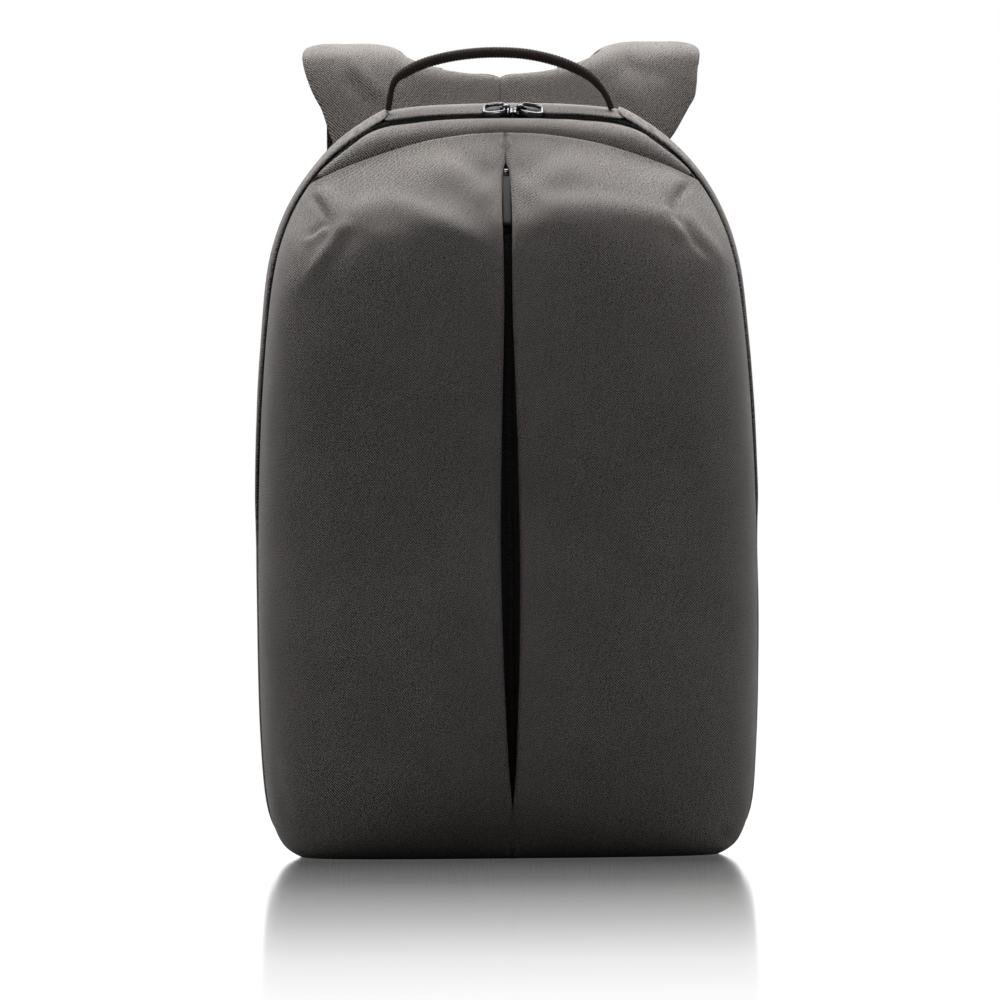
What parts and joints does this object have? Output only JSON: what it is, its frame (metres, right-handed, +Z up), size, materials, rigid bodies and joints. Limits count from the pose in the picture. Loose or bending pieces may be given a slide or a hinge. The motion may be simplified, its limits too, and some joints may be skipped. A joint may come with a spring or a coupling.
{
  "type": "laptop backpack",
  "caption": "Upright soft laptop backpack with a pleated front over a zip, a zip over the top, a rope carry handle and padded shoulder straps.",
  "frame": {"origin": "middle of the bounding box, on the floor under the bag", "axes": "+Z up, the front of the bag faces -Y and the wearer's side faces +Y, +X to the right seen from the front"},
  "size_m": [0.311, 0.2274, 0.5028],
  "materials": {
    "cloth": "matt grey melange twill of two tones",
    "dark_cloth": "matt dark cloth",
    "mesh_lining": "matt black spacer mesh",
    "tape": "matt black woven tape",
    "zip_teeth": "semi-matt black coil teeth",
    "metal": "polished black-nickel plate",
    "rope": "dark brown ribbed rope",
    "buckle": "fine-grained black plastic"
  },
  "bodies": {
    "bag": {"front_panel_left": "cloth", "front_panel_right": "cloth", "top_roll": "cloth", "side_gusset_left": "cloth", "top_gusset": "cloth", "side_gusset_right": "cloth", "base_panel": "dark_cloth", "back_panel": "dark_cloth", "main_zip_tape": "tape", "main_zip_chain": "zip_teeth", "main_zip_slider_left": "metal", "main_zip_slider_right": "metal", "front_zip_tape": "tape", "front_zip_chain": "zip_teeth", "front_zip_slider": "metal", "front_zip_pull": "tape", "carry_handle": "rope", "shoulder_strap_left": "cloth", "shoulder_strap_right": "cloth", "strap_lining_left": "mesh_lining", "strap_lining_right": "mesh_lining", "strap_end_loop_left": "tape", "strap_end_loop_right": "tape", "strap_adjuster_left": "buckle", "strap_adjuster_right": "buckle", "strap_webbing_left": "tape", "strap_webbing_right": "tape", "strap_anchor_left": "cloth", "strap_anchor_right": "cloth"},
    "left_pull": {"main_zip_pull_left": "metal"},
    "right_pull": {"main_zip_pull_right": "metal"}
  },
  "joints": [
    {"name": "left_pull_hinge", "type": "hinge", "parent": "bag", "child": "left_pull", "pos_m": [0.00125, -0.03276, 0.45926], "axis": [0.0151, 0.7665, 0.642], "range_deg": [0, 90]},
    {"name": "right_pull_hinge", "type": "hinge", "parent": "bag", "child": "right_pull", "pos_m": [0.00992, -0.03267, 0.45911], "axis": [-0.0103, -0.7692, -0.6389], "range_deg": [0, 90]}
  ]
}
